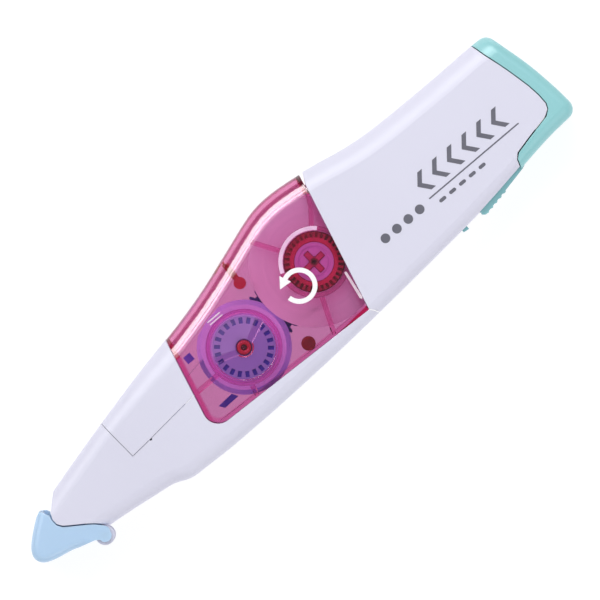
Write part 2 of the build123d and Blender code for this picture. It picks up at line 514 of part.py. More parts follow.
# ---- write --------------------------------------------------------------------------------------
os.makedirs("parts", exist_ok=True)
lo, hi = [1e9] * 3, [-1e9] * 3
for name, s in N.items():
    s = Pos(SHIFT_X, SHIFT_Y, 0) * s
    if isinstance(s, ShapeList):
        s = Compound(children=list(s))
    export_step(s, f"parts/{name}.step")
    b = s.bounding_box()
    for i, (p, q) in enumerate(zip(tuple(b.min), tuple(b.max))):
        lo[i], hi[i] = min(lo[i], p), max(hi[i], q)
    print(name, "solids", len(s.solids()), "vol", round(s.volume, 2), "valid", s.is_valid,
          [[round(v, 1) for v in (*q.bounding_box().min, *q.bounding_box().max)] for q in s.solids()] if len(s.solids()) > 1 else "")
print("BOX", [round(v, 3) for v in lo], [round(v, 3) for v in hi])
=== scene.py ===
import bpy, bmesh, math
from mathutils import Vector, Matrix


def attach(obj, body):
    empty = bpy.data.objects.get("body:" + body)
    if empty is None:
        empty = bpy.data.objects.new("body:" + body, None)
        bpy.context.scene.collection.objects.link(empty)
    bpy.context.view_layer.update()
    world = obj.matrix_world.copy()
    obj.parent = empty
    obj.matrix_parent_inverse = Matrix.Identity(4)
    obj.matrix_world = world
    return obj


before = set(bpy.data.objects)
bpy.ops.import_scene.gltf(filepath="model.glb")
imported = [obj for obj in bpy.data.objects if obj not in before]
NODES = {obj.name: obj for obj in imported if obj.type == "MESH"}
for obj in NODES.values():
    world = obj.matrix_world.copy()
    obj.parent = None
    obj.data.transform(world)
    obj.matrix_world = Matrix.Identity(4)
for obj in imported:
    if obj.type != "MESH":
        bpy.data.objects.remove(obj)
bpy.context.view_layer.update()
MM = 0.001
SX, SY = 3.5, -3.15               # layout frame (mm) to the part's frame
T = 15.0
SUP = (6.9, 3.9)
TAK = (-14.2471, 0.0205)


def M(x, y, z):
    return Vector(((x + SX) * MM, (y + SY) * MM, z * MM))


# =================================================================================================
# node helpers
# =================================================================================================
def new_mat(name):
    m = bpy.data.materials.new(name)
    m.use_nodes = True
    nt = m.node_tree
    nt.nodes.clear()
    out = nt.nodes.new("ShaderNodeOutputMaterial")
    return m, nt, out


def add(nt, kind, **kw):
    n = nt.nodes.new(kind)
    for k, v in kw.items():
        if hasattr(n, k):
            setattr(n, k, v)
        else:
            n.inputs[k].default_value = v
    return n


def coords(nt):
    return nt.nodes.new("ShaderNodeTexCoord").outputs["Object"]


def noise(nt, scale, detail=3.0, rough=0.5, vec=None):
    n = nt.nodes.new("ShaderNodeTexNoise")
    n.inputs["Scale"].default_value = scale
    n.inputs["Detail"].default_value = detail
    n.inputs["Roughness"].default_value = rough
    nt.links.new(vec or coords(nt), n.inputs["Vector"])
    return n.outputs["Fac"]


def ramp(nt, fac, lo, hi, a, b):
    """Fac between lo and hi runs from colour a to b."""
    r = nt.nodes.new("ShaderNodeValToRGB")
    r.color_ramp.elements[0].position = lo
    r.color_ramp.elements[1].position = hi
    r.color_ramp.elements[0].color = (*a, 1) if len(a) == 3 else a
    r.color_ramp.elements[1].color = (*b, 1) if len(b) == 3 else b
    nt.links.new(fac, r.inputs["Fac"])
    return r.outputs["Color"]


def mapr(nt, fac, a, b, lo=0.0, hi=1.0):
    n = nt.nodes.new("ShaderNodeMapRange")
    n.inputs["From Min"].default_value = lo
    n.inputs["From Max"].default_value = hi
    n.inputs["To Min"].default_value = a
    n.inputs["To Max"].default_value = b
    nt.links.new(fac, n.inputs["Value"])
    return n.outputs["Result"]


def math_node(nt, op, a, b=None, clamp=False):
    n = nt.nodes.new("ShaderNodeMath")
    n.operation = op
    n.use_clamp = clamp
    for i, v in enumerate((a, b)):
        if v is None:
            continue
        if isinstance(v, (int, float)):
            n.inputs[i].default_value = v
        else:
            nt.links.new(v, n.inputs[i])
    return n.outputs[0]


def bump(nt, height, dist, strength=1.0, normal=None):
    b = nt.nodes.new("ShaderNodeBump")
    b.inputs["Strength"].default_value = strength
    b.inputs["Distance"].default_value = dist
    nt.links.new(height, b.inputs["Height"])
    if normal is not None:
        nt.links.new(normal, b.inputs["Normal"])
    return b.outputs["Normal"]


def bevel(nt, radius):
    b = nt.nodes.new("ShaderNodeBevel")
    b.samples = 6
    b.inputs["Radius"].default_value = radius
    return b.outputs["Normal"]


def plastic(name, base, dark=None, rough=(0.28, 0.40), grain=2600, grain_h=0.004, sss=0.0, sss_rad=(1, 1, 1), coat=0.0, spec=0.5,
            bev=0.12, blotch=60):
    """Moulded plastic: fine grain, faint flow marks, roughness that varies, rounded edges."""
    m, nt, out = new_mat(name)
    p = nt.nodes.new("ShaderNodeBsdfPrincipled")
    dark = dark or tuple(c * 0.965 for c in base)
    vec = coords(nt)
    big = noise(nt, blotch, 2.0, 0.5, vec)
    nt.links.new(ramp(nt, big, 0.35, 0.65, dark, base), p.inputs["Base Color"])
    fine = noise(nt, grain, 4.0, 0.6, vec)
    nt.links.new(mapr(nt, noise(nt, blotch * 4, 3.0, 0.5, vec), rough[0], rough[1], 0.3, 0.7), p.inputs["Roughness"])
    n = bevel(nt, bev * MM) if bev else None
    nt.links.new(bump(nt, fine, grain_h * MM, 0.6, n), p.inputs["Normal"])
    p.inputs["Specular IOR Level"].default_value = spec
    if sss:
        p.inputs["Subsurface Weight"].default_value = sss
        p.inputs["Subsurface Radius"].default_value = sss_rad
        p.inputs["Subsurface Scale"].default_value = 0.0012
    if coat:
        p.inputs["Coat Weight"].default_value = coat
        p.inputs["Coat Roughness"].default_value = 0.12
    nt.links.new(p.outputs[0], out.inputs["Surface"])
    return m


# the case's humped edge in plan (layout mm)
HUMP = [(-30, 10.1), (-25, 11.05), (-20, 12.1), (-15, 13.35), (-10, 14.85), (-5, 16.5), (0, 18.15), (3, 19.05), (7, 19.6), (11, 19.4), (15.5, 18.85)]


def hump_inset(nt, vec):
    """Distance in mm that a point lies inside the case's humped edge."""
    sep = nt.nodes.new("ShaderNodeSeparateXYZ")
    nt.links.new(vec, sep.inputs[0])
    x0, x1 = HUMP[0][0], HUMP[-1][0]
    xn = mapr(nt, sep.outputs["X"], 0.0, 1.0, (x0 + SX) * MM, (x1 + SX) * MM)
    fc = nt.nodes.new("ShaderNodeFloatCurve")
    cv = fc.mapping.curves[0]
    rel = [((x - x0) / (x1 - x0), (y - 8.0) / 14.0) for x, y in HUMP]
    cv.points[0].location = rel[0]
    cv.points[1].location = rel[-1]
    for q in rel[1:-1]:
        cv.points.new(*q)
    fc.mapping.update()
    nt.links.new(xn, fc.inputs["Value"])
    edge = math_node(nt, "ADD", math_node(nt, "MULTIPLY", fc.outputs[0], 14.0), 8.0 + SY)
    return math_node(nt, "MULTIPLY", math_node(nt, "SUBTRACT", edge, math_node(nt, "MULTIPLY", sep.outputs["Y"], 1000.0)), 0.955)


def dial_window(nt, vec, a0=30.0, a1=156.0, r0=1.75, r1=6.35):
    """1 inside the thinner sector of the case over the dial, 0 outside."""
    sep = nt.nodes.new("ShaderNodeSeparateXYZ")
    nt.links.new(vec, sep.inputs[0])
    x = math_node(nt, "SUBTRACT", math_node(nt, "MULTIPLY", sep.outputs["X"], 1000.0), TAK[0] + SX)
    y = math_node(nt, "SUBTRACT", math_node(nt, "MULTIPLY", sep.outputs["Y"], 1000.0), TAK[1] + SY)
    b, c = math.radians(a0), math.radians(a1)
    side_a = math_node(nt, "SUBTRACT", math_node(nt, "MULTIPLY", y, math.cos(b)), math_node(nt, "MULTIPLY", x, math.sin(b)))
    side_b = math_node(nt, "SUBTRACT", math_node(nt, "MULTIPLY", x, math.sin(c)), math_node(nt, "MULTIPLY", y, math.cos(c)))
    rr = math_node(nt, "ADD", math_node(nt, "MULTIPLY", x, x), math_node(nt, "MULTIPLY", y, y))
    inside = math_node(nt, "MULTIPLY", math_node(nt, "GREATER_THAN", side_a, 0.0), math_node(nt, "GREATER_THAN", side_b, 0.0))
    ring = math_node(nt, "MULTIPLY", math_node(nt, "LESS_THAN", rr, r1 * r1), math_node(nt, "GREATER_THAN", rr, r0 * r0))
    return math_node(nt, "MULTIPLY", inside, ring)


def stops(nt, d, pts, full=6.0):
    """Value that follows pts (mm, value) along d."""
    r = nt.nodes.new("ShaderNodeValToRGB")
    e = r.color_ramp.elements
    e[0].position, e[1].position = pts[0][0] / full, pts[-1][0] / full
    e[0].color = (pts[0][1],) * 3 + (1,)
    e[1].color = (pts[-1][1],) * 3 + (1,)
    for x, v in pts[1:-1]:
        k = e.new(x / full)
        k.color = (v, v, v, 1)
    nt.links.new(math_node(nt, "DIVIDE", d, full, clamp=True), r.inputs["Fac"])
    return r.outputs["Color"]


def clear_plastic(name, tint, absorb, density, gloss_rough=0.03, rim_tint=(0.87, 0.70, 0.75)):
    """Clear tinted moulding that bends what is behind it, darker where more plastic lies in the way. Lamps reach
    what is inside through a plain tinted pass."""
    m, nt, out = new_mat(name)
    vec = coords(nt)
    p = nt.nodes.new("ShaderNodeBsdfPrincipled")
    d = hump_inset(nt, vec)
    rim = stops(nt, d, [(0.2, 0.0), (0.6, 1.0), (1.6, 1.0), (2.3, 0.5), (3.2, 0.35), (3.9, 0.0)])
    body = ramp(nt, rim, 0.0, 1.0, [c * c for c in tint], [(c * k) ** 2 for c, k in zip(tint, rim_tint)])
    thin = nt.nodes.new("ShaderNodeMix")
    thin.data_type = "RGBA"
    nt.links.new(dial_window(nt, vec), thin.inputs[0])
    nt.links.new(body, thin.inputs[6])
    thin.inputs[7].default_value = (0.99, 0.99, 0.99, 1)
    nt.links.new(thin.outputs[2], p.inputs["Base Color"])
    p.inputs["Transmission Weight"].default_value = 1.0
    p.inputs["IOR"].default_value = 1.50
    # painted highlight: coat laid only in a band 1.8 to 4.8 mm inside the humped edge, where the sheen lamps reflect,
    # so their glare is stronger there
    nt.links.new(stops(nt, d, [(1.8, 0.0), (2.5, 1.0), (3.8, 1.0), (4.8, 0.0)]), p.inputs["Coat Weight"])
    p.inputs["Coat Roughness"].default_value = 0.16
    nt.links.new(mapr(nt, noise(nt, 300, 3.0, 0.5, vec), gloss_rough, gloss_rough + 0.04, 0.3, 0.7), p.inputs["Roughness"])
    nt.links.new(bump(nt, noise(nt, 260, 2.0, 0.5, vec), 0.004 * MM, 0.5), p.inputs["Normal"])
    tr = nt.nodes.new("ShaderNodeBsdfTransparent")
    tr.inputs["Color"].default_value = (*[c * 0.965 for c in tint], 1)
    lp = nt.nodes.new("ShaderNodeLightPath")
    fac = math_node(nt, "MAXIMUM", lp.outputs["Is Shadow Ray"], lp.outputs["Is Diffuse Ray"])
    trapped = math_node(nt, "MAXIMUM", math_node(nt, "GREATER_THAN", lp.outputs["Glossy Depth"], 1.5),
                        math_node(nt, "GREATER_THAN", lp.outputs["Ray Depth"], 6.5))
    fac = math_node(nt, "MAXIMUM", fac, trapped)
    mix = nt.nodes.new("ShaderNodeMixShader")
    nt.links.new(fac, mix.inputs["Fac"])
    nt.links.new(p.outputs[0], mix.inputs[1])
    nt.links.new(tr.outputs[0], mix.inputs[2])
    nt.links.new(mix.outputs[0], out.inputs["Surface"])
    v = nt.nodes.new("ShaderNodeVolumeAbsorption")
    v.inputs["Color"].default_value = (*absorb, 1)
    v.inputs["Density"].default_value = density
    nt.links.new(v.outputs[0], out.inputs["Volume"])
    return m


def rings(name, centre, base, dark, pitch, rough=0.55, depth=0.006, axis_noise=0.15):
    """Edge of a wound tape: close rings about the reel's axis."""
    m, nt, out = new_mat(name)
    p = nt.nodes.new("ShaderNodeBsdfPrincipled")
    vec = coords(nt)
    sub = nt.nodes.new("ShaderNodeVectorMath")
    sub.operation = "SUBTRACT"
    nt.links.new(vec, sub.inputs[0])
    c = M(*centre, 0)
    sub.inputs[1].default_value = (c.x, c.y, 0)
    flat = nt.nodes.new("ShaderNodeVectorMath")
    flat.operation = "MULTIPLY"
    nt.links.new(sub.outputs[0], flat.inputs[0])
    flat.inputs[1].default_value = (1, 1, 0)
    ln = nt.nodes.new("ShaderNodeVectorMath")
    ln.operation = "LENGTH"
    nt.links.new(flat.outputs[0], ln.inputs[0])
    r = ln.outputs["Value"]
    comb = nt.nodes.new("ShaderNodeCombineXYZ")
    nt.links.new(r, comb.inputs[0])
    n1 = noise(nt, 1.0 / (pitch * MM), 2.0, 0.6, comb.outputs[0])
    n2 = noise(nt, 0.18 / (pitch * MM), 2.0, 0.6, comb.outputs[0])
    tone = math_node(nt, "ADD", math_node(nt, "MULTIPLY", n1, 0.45), math_node(nt, "MULTIPLY", n2, 0.55))
    nt.links.new(ramp(nt, tone, 0.30, 0.62, dark, base), p.inputs["Base Color"])
    nt.links.new(mapr(nt, n1, rough - 0.1, rough + 0.1, 0.3, 0.7), p.inputs["Roughness"])
    nt.links.new(bump(nt, n1, depth * MM, 0.7), p.inputs["Normal"])
    nt.links.new(p.outputs[0], out.inputs["Surface"])
    return m


def metal(name, base, rough=(0.25, 0.4)):
    m, nt, out = new_mat(name)
    p = nt.nodes.new("ShaderNodeBsdfPrincipled")
    vec = coords(nt)
    p.inputs["Metallic"].default_value = 1.0
    nt.links.new(ramp(nt, noise(nt, 900, 3, 0.5, vec), 0.3, 0.7, tuple(c * 0.85 for c in base), base), p.inputs["Base Color"])
    nt.links.new(mapr(nt, noise(nt, 2200, 3, 0.5, vec), *rough, 0.3, 0.7), p.inputs["Roughness"])
    nt.links.new(bump(nt, noise(nt, 4000, 2, 0.5, vec), 0.002 * MM, 0.5, bevel(nt, 0.06 * MM)), p.inputs["Normal"])
    nt.links.new(p.outputs[0], out.inputs["Surface"])
    return m


# =================================================================================================
# materials
# =================================================================================================
WHITE = plastic("white_shell", (0.685, 0.68, 0.805), (0.677, 0.672, 0.797), rough=(0.45, 0.50), spec=0.42, sss=0.12, sss_rad=(1, 1, 1), blotch=25)
MINT = plastic("mint_slide", (0.285, 0.605, 0.635), (0.27, 0.59, 0.62), rough=(0.32, 0.38), sss=0.1, blotch=25)
CAPB = plastic("cap_blue", (0.47, 0.65, 0.86), (0.45, 0.63, 0.85), rough=(0.28, 0.34), sss=0.25, coat=0.08, blotch=25)
CRIM = plastic("crimson", (0.62, 0.012, 0.05), (0.55, 0.008, 0.04), rough=(0.3, 0.42), bev=0.07)
DBLUE = plastic("dark_blue", (0.035, 0.03, 0.30), (0.03, 0.025, 0.26), rough=(0.35, 0.5), bev=0.06)
FRAMEB = plastic("frame_blue", (0.30, 0.47, 0.78), (0.28, 0.45, 0.76), rough=(0.3, 0.42), bev=0.07)
GEARV = plastic("gear_violet", (0.20, 0.10, 0.45), (0.18, 0.09, 0.42), rough=(0.35, 0.5), bev=0.06)
REELV = plastic("reel_violet", (0.80, 0.68, 0.98), (0.76, 0.65, 0.97), rough=(0.35, 0.45), bev=0.06)
# painted light standing for light spread through the milky spool: it glows faintly violet though it is no lamp, so its
# lower flange, shaded under the dial, reads brighter
spool_painted_glow = next(n for n in REELV.node_tree.nodes if n.type == "BSDF_PRINCIPLED")
spool_painted_glow.inputs["Emission Color"].default_value = (0.45, 0.28, 1.0, 1)
spool_painted_glow.inputs["Emission Strength"].default_value = 0.16
DIALV = plastic("dial_violet", (0.35, 0.38, 0.82), (0.33, 0.36, 0.79), rough=(0.3, 0.42), bev=0.06)
ROSE = plastic("core_rose", (0.78, 0.35, 0.76), (0.74, 0.33, 0.73), rough=(0.3, 0.42), bev=0.06)
ROLLW = plastic("roller_white", (0.85, 0.85, 0.88), rough=(0.4, 0.55), bev=0.05)
FILMM = plastic("carrier_film", (0.80, 0.81, 0.86), (0.76, 0.77, 0.84), rough=(0.2, 0.3), bev=0, blotch=300)
TAPE = plastic("white_tape", (0.93, 0.93, 0.94), (0.90, 0.90, 0.92), rough=(0.6, 0.7), bev=0, blotch=300)
ROLL = rings("tape_roll", SUP, (0.98, 0.98, 0.99), (0.86, 0.86, 0.90), 0.16)
WIND = rings("used_winding", TAK, (0.85, 0.85, 0.9), (0.6, 0.6, 0.7), 0.12)
CLEAR = clear_plastic("clear_magenta", (0.906, 0.828, 0.900), (0.95, 0.05, 0.58), 330)
STEEL = metal("steel", (0.62, 0.62, 0.64))

MATS = {
    "front_shell_upper": WHITE, "front_shell_lower": WHITE, "nose_cover": WHITE, "rear_shell_upper": WHITE, "rear_shell_lower": WHITE,
    "case_cover_upper": CLEAR, "case_cover_lower": CLEAR, "case_pegs": CRIM, "guide_blocks": DBLUE, "head_frame": FRAMEB,
    "roller_pin": STEEL, "cap_hinge_pin": CAPB, "fresh_tape_run": TAPE, "used_tape_run": FILMM, "supply_gear": GEARV,
    "clutch_ring": STEEL, "tape_core": ROSE, "tape_roll": ROLL, "supply_tooth_ring": CRIM, "supply_snap_hub": ROSE,
    "takeup_gear": DBLUE, "takeup_spool": REELV, "used_tape_winding": WIND, "takeup_dial": DBLUE, "dial_face": DIALV, "idler_gear": DBLUE,
    "press_roller": ROLLW, "cap": CAPB, "release_slide": MINT,
}
for n, o in NODES.items():
    o.data.materials.clear()
    o.data.materials.append(MATS.get(n, WHITE))

# =================================================================================================
# printed marks and small fittings
# =================================================================================================
def graded(name, low, high, y0, y1):
    """Colour that runs across the part from low at y0 to high at y1 (layout mm), with noise in the blend."""
    m, nt, out = new_mat(name)
    p = nt.nodes.new("ShaderNodeBsdfPrincipled")
    vec = coords(nt)
    sep = nt.nodes.new("ShaderNodeSeparateXYZ")
    nt.links.new(vec, sep.inputs[0])
    t = mapr(nt, sep.outputs["Y"], 0.0, 1.0, (y0 + SY) * MM, (y1 + SY) * MM)
    t = math_node(nt, "ADD", t, math_node(nt, "MULTIPLY", math_node(nt, "SUBTRACT", noise(nt, 900, 3.0, 0.6, vec), 0.5), 0.9), clamp=True)
    nt.links.new(ramp(nt, t, 0.0, 1.0, low, high), p.inputs["Base Color"])
    nt.links.new(mapr(nt, noise(nt, 500, 3.0, 0.5, vec), 0.3, 0.45, 0.3, 0.7), p.inputs["Roughness"])
    nt.links.new(bump(nt, noise(nt, 1500, 3.0, 0.6, vec), 0.01 * MM, 0.6, bevel(nt, 0.08 * MM)), p.inputs["Normal"])
    nt.links.new(p.outputs[0], out.inputs["Surface"])
    return m


def frost(name, colour, amount):
    """Thin frosted patch on the clear window."""
    m, nt, out = new_mat(name)
    d = nt.nodes.new("ShaderNodeBsdfPrincipled")
    vec = coords(nt)
    nt.links.new(ramp(nt, noise(nt, 700, 3.0, 0.6, vec), 0.3, 0.7, tuple(c * 0.93 for c in colour), colour), d.inputs["Base Color"])
    nt.links.new(mapr(nt, noise(nt, 900, 3.0, 0.6, vec), 0.25, 0.45, 0.3, 0.7), d.inputs["Roughness"])
    nt.links.new(bump(nt, noise(nt, 2200, 3.0, 0.6, vec), 0.004 * MM, 0.5), d.inputs["Normal"])
    tr = nt.nodes.new("ShaderNodeBsdfTransparent")
    mix = nt.nodes.new("ShaderNodeMixShader")
    nt.links.new(mapr(nt, noise(nt, 420, 3.0, 0.6, vec), amount * 0.8, amount * 1.2, 0.3, 0.7), mix.inputs["Fac"])
    nt.links.new(tr.outputs[0], mix.inputs[1])
    nt.links.new(d.outputs[0], mix.inputs[2])
    nt.links.new(mix.outputs[0], out.inputs["Surface"])
    return m


def radial(name, centre, pts, full=7.0):
    """Moulded plastic whose colour changes with the distance (mm) from a reel's axis."""
    m, nt, out = new_mat(name)
    p = nt.nodes.new("ShaderNodeBsdfPrincipled")
    vec = coords(nt)
    sep = nt.nodes.new("ShaderNodeSeparateXYZ")
    nt.links.new(vec, sep.inputs[0])
    x = math_node(nt, "SUBTRACT", math_node(nt, "MULTIPLY", sep.outputs["X"], 1000.0), centre[0] + SX)
    y = math_node(nt, "SUBTRACT", math_node(nt, "MULTIPLY", sep.outputs["Y"], 1000.0), centre[1] + SY)
    r = math_node(nt, "SQRT", math_node(nt, "ADD", math_node(nt, "MULTIPLY", x, x), math_node(nt, "MULTIPLY", y, y)))
    r = math_node(nt, "ADD", r, math_node(nt, "MULTIPLY", math_node(nt, "SUBTRACT", noise(nt, 1400, 3.0, 0.6, vec), 0.5), 0.3))
    c = nt.nodes.new("ShaderNodeValToRGB")
    e = c.color_ramp.elements
    e[0].position, e[1].position = pts[0][0] / full, pts[-1][0] / full
    e[0].color, e[1].color = (*pts[0][1], 1), (*pts[-1][1], 1)
    for d, col in pts[1:-1]:
        e.new(d / full).color = (*col, 1)
    nt.links.new(math_node(nt, "DIVIDE", r, full, clamp=True), c.inputs["Fac"])
    nt.links.new(c.outputs["Color"], p.inputs["Base Color"])
    nt.links.new(mapr(nt, noise(nt, 500, 3.0, 0.5, vec), 0.32, 0.45, 0.3, 0.7), p.inputs["Roughness"])
    nt.links.new(bump(nt, noise(nt, 1500, 3.0, 0.6, vec), 0.008 * MM, 0.6, bevel(nt, 0.05 * MM)), p.inputs["Normal"])
    nt.links.new(p.outputs[0], out.inputs["Surface"])
    return m


# painted shade: from 4.9 mm out the ring is darker, standing for the shadow in the teeth's notches; inside 0.65 mm, at
# the axis, it is darkest
RINGM = radial("tooth_crimson", SUP, [(0.65, (0.16, 0.003, 0.012)), (0.95, (0.60, 0.02, 0.14)), (2.4, (0.60, 0.02, 0.14)), (3.9, (0.70, 0.008, 0.10)),
                                      (4.65, (0.70, 0.008, 0.10)), (4.9, (0.48, 0.004, 0.06)), (6.0, (0.42, 0.004, 0.05))])
# painted shade: the core's top, seen through the ring's notches, is made near-black crimson to stand for the notches'
# shadow; only its edge past 6 mm is lighter
CORE_SHADE = radial("core_painted_shade", SUP, [(0.5, (0.10, 0.003, 0.015)), (5.7, (0.10, 0.003, 0.015)), (6.0, (0.30, 0.02, 0.08))])
for n, mt in (("supply_tooth_ring", RINGM), ("tape_core", CORE_SHADE)):
    NODES[n].data.materials.clear()
    NODES[n].data.materials.append(mt)
PEGS = graded("peg_crimson", (0.24, 0.004, 0.014), (0.62, 0.014, 0.06), -8.5, 9.0)
NODES["case_pegs"].data.materials.clear()
NODES["case_pegs"].data.materials.append(PEGS)
GEARB = plastic("gear_blue", (0.28, 0.20, 0.60), (0.25, 0.18, 0.57), rough=(0.35, 0.5), bev=0.06)
NODES["takeup_gear"].data.materials.clear()
NODES["takeup_gear"].data.materials.append(GEARB)
DIALB = plastic("dial_blue", (0.022, 0.02, 0.50), (0.02, 0.018, 0.46), rough=(0.35, 0.5), bev=0.06)
NODES["takeup_dial"].data.materials.clear()
NODES["takeup_dial"].data.materials.append(DIALB)
GUIDES = graded("guide_blue", (0.05, 0.045, 0.42), (0.15, 0.11, 0.68), -4.0, 4.0)
NODES["guide_blocks"].data.materials.clear()
NODES["guide_blocks"].data.materials.append(GUIDES)
# painted shade: near-black crimson for the disc that stands for the dark hole in the take-up axle
AXLE_HOLE_SHADE = plastic("axle_hole_painted_shade", (0.10, 0.004, 0.012), (0.08, 0.003, 0.010), rough=(0.4, 0.5), bev=0)
FROST = frost("window_frost", (0.86, 0.60, 0.95), 0.035)
# painted highlights: near-white lines on the window that stand for glints
GLINT = frost("window_line", (0.98, 0.86, 0.94), 0.55)
# painted highlight: pale pink overlay for the light rim along the supply ring's edge
RIM_HIGHLIGHT = frost("rim_painted_highlight", (0.97, 0.66, 0.92), 0.72)
INK = plastic("grey_ink", (0.115, 0.115, 0.15), (0.10, 0.10, 0.135), rough=(0.45, 0.55), bev=0, blotch=400)
WHITE_INK = plastic("white_ink", (0.94, 0.93, 0.95), (0.92, 0.91, 0.93), rough=(0.35, 0.45), bev=0, blotch=400)


def smooth(pts, n=8, closed=True):
    """Points of a Catmull-Rom curve through pts."""
    out, m = [], len(pts)
    for i in range(m if closed else m - 1):
        a, b, c, d = [pts[(i + k) % m] if closed else pts[max(0, min(m - 1, i + k))] for k in (-1, 0, 1, 2)]
        for k in range(n):
            t = k / n
            out.append(tuple(0.5 * (2 * b[j] + (c[j] - a[j]) * t + (2 * a[j] - 5 * b[j] + 4 * c[j] - d[j]) * t * t
                                    + (3 * b[j] - a[j] - 3 * c[j] + d[j]) * t ** 3) for j in range(len(b))))
    if not closed:
        out.append(tuple(pts[-1]))
    return out


def slab(name, loops, z0, z1, mat):
    """Thin solid between z0 and z1 (mm) from outlines in layout mm; a loop inside another is a hole."""
    cu = bpy.data.curves.new(name + "_outline", "CURVE")
    cu.dimensions = "2D"
    cu.fill_mode = "BOTH"
    cu.extrude = (z1 - z0) / 2 * MM
    for loop in loops:
        sp = cu.splines.new("POLY")
        sp.points.add(len(loop) - 1)
        for q, (x, y) in zip(sp.points, loop):
            q.co = ((x + SX) * MM, (y + SY) * MM, 0, 1)
        sp.use_cyclic_u = True
    tmp = bpy.data.objects.new(name + "_tmp", cu)
    bpy.context.scene.collection.objects.link(tmp)
    bpy.context.view_layer.update()
    me = bpy.data.meshes.new_from_object(tmp.evaluated_get(bpy.context.evaluated_depsgraph_get()))
    bpy.data.objects.remove(tmp)
    bpy.data.curves.remove(cu)
    bm = bmesh.new()
    bm.from_mesh(me)
    bmesh.ops.remove_doubles(bm, verts=bm.verts, dist=1e-7)
    bmesh.ops.recalc_face_normals(bm, faces=bm.faces)
    bmesh.ops.translate(bm, verts=bm.verts, vec=(0, 0, (z0 + z1) / 2 * MM))
    bm.to_mesh(me)
    bm.free()
    me.name = name
    me.materials.clear()
    me.materials.append(mat)
    ob = bpy.data.objects.new(name, me)
    bpy.context.scene.collection.objects.link(ob)
    return ob


def join_solids(a, b):
    """a becomes the union of a and b; b is removed."""
    mod = a.modifiers.new("union", "BOOLEAN")
    mod.operation = "UNION"
    mod.solver = "EXACT"
    mod.object = b
    bpy.context.view_layer.update()
    me = bpy.data.meshes.new_from_object(a.evaluated_get(bpy.context.evaluated_depsgraph_get()))
    a.modifiers.clear()
    me.materials.clear()
    me.materials.append(a.data.materials[0])
    a.data = me
    bpy.data.objects.remove(b)
    return a


def ellipse(cx, cy, a, b, n=64):
    return [(cx + a * math.cos(2 * math.pi * k / n), cy + b * math.sin(2 * math.pi * k / n)) for k in range(n)]


def round_bar(x0, x1, y, w, n=10):
    r = w / 2
    return [(x1 - r + r * math.cos(t), y + r * math.sin(t)) for t in [(-0.5 + k / n) * math.pi for k in range(n + 1)]] \
        + [(x0 + r + r * math.cos(t), y + r * math.sin(t)) for t in [(0.5 + k / n) * math.pi for k in range(n + 1)]]


def stroke(pts, widths, n=8):
    """Outline of a line of changing width."""
    q = smooth([(*p_, w) for p_, w in zip(pts, widths)], n, closed=False)
    left, right = [], []
    for i in range(len(q)):
        a, b = q[max(0, i - 1)], q[min(len(q) - 1, i + 1)]
        d = math.hypot(b[0] - a[0], b[1] - a[1])
        ux, uy = -(b[1] - a[1]) / d * q[i][2] / 2, (b[0] - a[0]) / d * q[i][2] / 2
        left.append((q[i][0] + ux, q[i][1] + uy))
        right.append((q[i][0] - ux, q[i][1] - uy))
    return left + right[::-1]


# a plain turning arrow on the window, over the supply reel's edge
def arc_pts(c, r, a0, a1, n=48):
    return [(c[0] + r * math.cos(math.radians(a0 + (a1 - a0) * k / n)), c[1] + r * math.sin(math.radians(a0 + (a1 - a0) * k / n))) for k in range(n + 1)]


TC, TR, TW = (1.7, 2.2), 3.05, 0.95
shaft = arc_pts(TC, TR + TW / 2, 118, -170) + arc_pts(TC, TR - TW / 2, -170, 118)
turn = slab("turn_arrow_print", [shaft], 14.906, 14.918, WHITE_INK)
ax, ay = TC[0] + TR * math.cos(math.radians(114)), TC[1] + TR * math.sin(math.radians(114))
ux, uy = math.cos(math.radians(204)), math.sin(math.radians(204))
head = slab("turn_arrow_head", [[(ax + 2.3 * ux, ay + 2.3 * uy), (ax - 1.25 * uy, ay + 1.25 * ux), (ax + 1.25 * uy, ay - 1.25 * ux)]], 14.906, 14.918, WHITE_INK)
turn = join_solids(turn, head)
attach(turn, "front_unit")

# frosted sector over the dial; painted highlights: the light rim around the supply reel's ring and the glint lines by
# the window's edges
sector = arc_pts(TAK, 1.75, 150, 36, 20) + arc_pts(TAK, 6.35, 24, 162, 40)
PATCHES = [
    ("dial_frost", [sector], FROST),
    # painted highlight along the supply ring's edge
    ("supply_rim_highlight", [arc_pts(SUP, 6.95, 45, 160) + arc_pts(SUP, 6.15, 160, 45)], RIM_HIGHLIGHT),
    # painted highlights: two short glint lines by the dial and one along the window's right edge
    ("dial_line_a", [round_bar(-16.6, -13.4, 8.25, 0.26)], GLINT),
    ("dial_line_b", [round_bar(-16.5, -13.3, 7.6, 0.22)], GLINT),
    ("edge_glint", [[(10.45, -1.7), (10.2, -1.45), (9.95, -1.6), (9.1, -7.2), (9.3, -7.65), (9.65, -7.4)]], GLINT),
]
for name, loops, mat in PATCHES:
    ob = slab(name, loops, 14.893, 14.905, mat)
    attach(ob, "front_unit")

